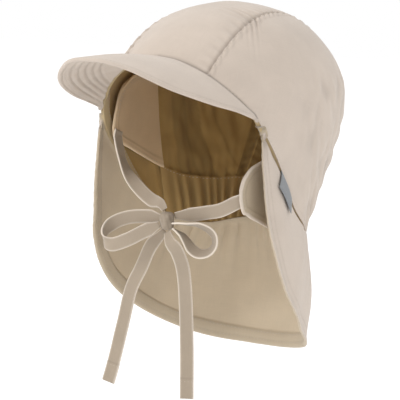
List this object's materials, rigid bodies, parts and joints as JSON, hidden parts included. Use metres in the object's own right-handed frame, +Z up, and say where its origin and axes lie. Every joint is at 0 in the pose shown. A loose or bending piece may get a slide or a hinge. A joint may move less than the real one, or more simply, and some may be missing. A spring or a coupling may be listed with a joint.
{
  "type": "legionnaire cap",
  "caption": "Small child's soft cap with a rounded panelled crown, a stiff peak, a long neck flap, ear flaps and ties knotted in a bow under the chin.",
  "frame": {"origin": "the middle of the head's opening, midway between the temples", "axes": "+Z up as worn, -Y the way the peak faces, +X the wearer's left"},
  "size_m": [0.15, 0.2373, 0.2516],
  "materials": {
    "beige_cotton": "plain woven cotton, matt",
    "inner_cotton": "plain woven cotton, the inner side, in shade",
    "tie_cotton": "flat tape of the same cotton, folded and edge-stitched",
    "label_grey": "plain woven grey tape"
  },
  "bodies": {
    "root": {"crown_centre_panel": "beige_cotton", "crown_side_panel_left": "beige_cotton", "crown_side_panel_right": "beige_cotton", "rim_facing": "inner_cotton", "nape_casing": "inner_cotton", "peak": "beige_cotton", "neck_flap": "beige_cotton", "label": "label_grey", "ear_flap_left": "beige_cotton", "ear_flap_right": "inner_cotton", "tie_left": "tie_cotton", "tie_right": "tie_cotton", "bow_loop_left": "tie_cotton", "bow_loop_right": "tie_cotton", "tie_tail_left": "tie_cotton", "tie_tail_right": "tie_cotton", "bow_knot": "tie_cotton"}
  },
  "joints": []
}
